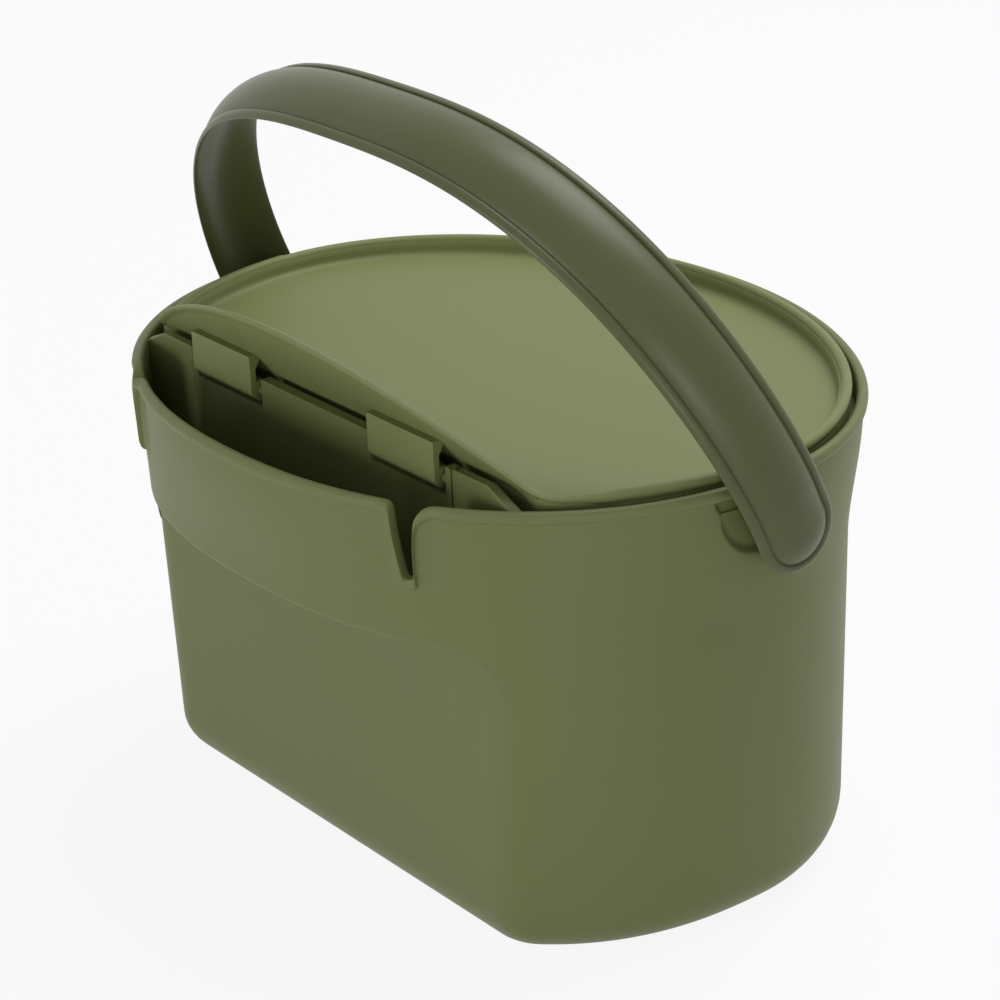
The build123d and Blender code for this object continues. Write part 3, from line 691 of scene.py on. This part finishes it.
def camera():
    """Camera at the photo's angle: its axes come from azimuth and elevation, turned by the
    roll, and it is moved aside so that the rim's middle falls where the photo has it."""
    right = np.array([math.cos(CAMERA_AZIMUTH), math.sin(CAMERA_AZIMUTH), 0])
    back = np.array([
        math.sin(CAMERA_AZIMUTH) * math.cos(CAMERA_ELEVATION),
        -math.cos(CAMERA_AZIMUTH) * math.cos(CAMERA_ELEVATION),
        math.sin(CAMERA_ELEVATION),
    ])
    up = np.cross(back, right)
    turned_right = math.cos(CAMERA_ROLL) * right + math.sin(CAMERA_ROLL) * up
    turned_up = -math.sin(CAMERA_ROLL) * right + math.cos(CAMERA_ROLL) * up
    aside = (CAMERA_CENTRE_X - PHOTO_SIDE / 2) / CAMERA_FOCAL * CAMERA_DISTANCE
    above = -(CAMERA_CENTRE_Y - PHOTO_SIDE / 2) / CAMERA_FOCAL * CAMERA_DISTANCE
    place = back * CAMERA_DISTANCE - turned_right * aside - turned_up * above + [0, 0, RIM_HEIGHT]
    data = bpy.data.cameras.new("photo_camera")
    data.sensor_width = SENSOR_WIDTH
    data.lens = SENSOR_WIDTH * CAMERA_FOCAL / PHOTO_SIDE
    data.clip_start = 0.01
    data.clip_end = 50
    item = bpy.data.objects.new("photo_camera", data)
    turn = Matrix([turned_right, turned_up, back]).transposed().to_4x4()
    item.matrix_world = Matrix.Translation(Vector(place * MM)) @ turn
    bpy.context.scene.collection.objects.link(item)
    bpy.context.scene.camera = item


def white_to_camera(tree, surface, out, share=1.0):
    """Shows a share of plain white to the camera and in reflections, the surface to all else."""
    path = tree.nodes.new("ShaderNodeLightPath")
    seen = tree.nodes.new("ShaderNodeMath")
    seen.operation = "MAXIMUM"
    tree.links.new(path.outputs["Is Camera Ray"], seen.inputs[0])
    mirrored = tree.nodes.new("ShaderNodeMath")
    mirrored.operation = "MAXIMUM"
    tree.links.new(path.outputs["Is Glossy Ray"], mirrored.inputs[0])
    tree.links.new(path.outputs["Is Transmission Ray"], mirrored.inputs[1])
    tree.links.new(mirrored.outputs[0], seen.inputs[1])
    mix = tree.nodes.new("ShaderNodeMixShader")
    part = tree.nodes.new("ShaderNodeMath")
    part.operation = "MULTIPLY"
    tree.links.new(seen.outputs[0], part.inputs[0])
    part.inputs[1].default_value = share
    tree.links.new(part.outputs[0], mix.inputs[0])
    tree.links.new(surface.outputs[0], mix.inputs[1])
    kind = "ShaderNodeBackground" if out.bl_idname == "ShaderNodeOutputWorld" else "ShaderNodeEmission"
    white = tree.nodes.new(kind)
    white.inputs["Color"].default_value = (1, 1, 1, 1)
    tree.links.new(white.outputs[0], mix.inputs[2])
    tree.links.new(mix.outputs[0], out.inputs["Surface"])


def studio():
    """White world, pale floor and three soft lamps."""
    world = bpy.data.worlds.new("studio")
    bpy.context.scene.world = world
    world.use_nodes = True
    tree = world.node_tree
    light = tree.nodes["Background"]
    light.inputs["Color"].default_value = (1, 1, 1, 1)
    light.inputs["Strength"].default_value = WORLD_LIGHT
    white_to_camera(tree, light, tree.nodes["World Output"])

    mesh = bpy.data.meshes.new("floor")
    signs = [(-1, -1), (1, -1), (1, 1), (-1, 1)]
    corners = [(x * FLOOR_REACH, y * FLOOR_REACH, 0) for x, y in signs]
    mesh.from_pydata(corners, [], [(0, 1, 2, 3)])
    floor = bpy.data.objects.new("floor", mesh)
    bpy.context.scene.collection.objects.link(floor)
    material = bpy.data.materials.new("pale_floor")
    material.use_nodes = True
    shader = material.node_tree.nodes["Principled BSDF"]
    shader.inputs["Base Color"].default_value = (0.9, 0.9, 0.9, 1)
    shader.inputs["Roughness"].default_value = 0.9
    shader.inputs["Specular IOR Level"].default_value = 0.1
    white_to_camera(material.node_tree, shader, material.node_tree.nodes["Material Output"], FLOOR_WHITE)
    mesh.materials.append(material)

    for name, place, size, power in LAMPS:
        data = bpy.data.lights.new(name, "AREA")
        data.size = size
        data.energy = power
        lamp = bpy.data.objects.new(name, data)
        lamp.location = place
        toward = Vector(LAMP_TARGET) - Vector(place)
        lamp.rotation_euler = toward.to_track_quat("-Z", "Y").to_euler()
        bpy.context.scene.collection.objects.link(lamp)


GRAIN = moulded_grain()
BODY = plastic("olive_body", (0.160, 0.182, 0.064), 0.5, 0.06, 0.2, 0.35)
# Lid: the olive plastic made lighter than the body's, as painted light standing in for the light that
# falls on its top.
LID = plastic("olive_lid_painted_top_light", (0.222, 0.250, 0.094), 0.55, 0.06, 0.2, 0.3)
# Handle: the olive plastic made darker than the body's, as painted shade standing in for the shade on its
# top.
HANDLE = plastic("olive_handle_painted_shade", (0.098, 0.110, 0.043), 0.36, 0.06, 0.15, 0.3)
SEAL = plastic("soft_seal", (0.03, 0.032, 0.028), 0.75, 0.3, 0.5)
STRAINER = plastic("olive_strainer", (0.145, 0.165, 0.060), 0.6, 0.12, 0.3)

add_piece("bucket_shell", [bucket_surface()], "bin", BODY, "bin_body")
add_piece("bucket_divider_ends", divider_ends(), "bin", BODY, "bin_body", bevel=0.5)
add_piece("bucket_ledge", [ledge_ring()], "bin", BODY, "bin_body")
add_piece("bucket_bosses", pivot_bosses(), "bin", BODY, "bin_body", bevel=0.6)
add_piece("lid_shell", [lid_surface()], "lid", LID, "lid")
add_piece(
    "lid_clips",
    [prism(clip_outline(), side * CLIP_ENDS[0], side * CLIP_ENDS[1]) for side in (-1, 1)],
    "lid", LID, "lid", bevel=0.25,
)
add_piece("handle_strap", [handle_surface()], "handle", HANDLE, "handle")
add_piece("handle_pegs", handle_pegs(), "handle", HANDLE, "handle", bevel=0.4)
finish_node("hinge_panel", BODY)
finish_node("lid_seal", SEAL)
finish_node("strainer", STRAINER)

camera()
studio()
view = bpy.context.scene.view_settings
view.view_transform = "Standard"
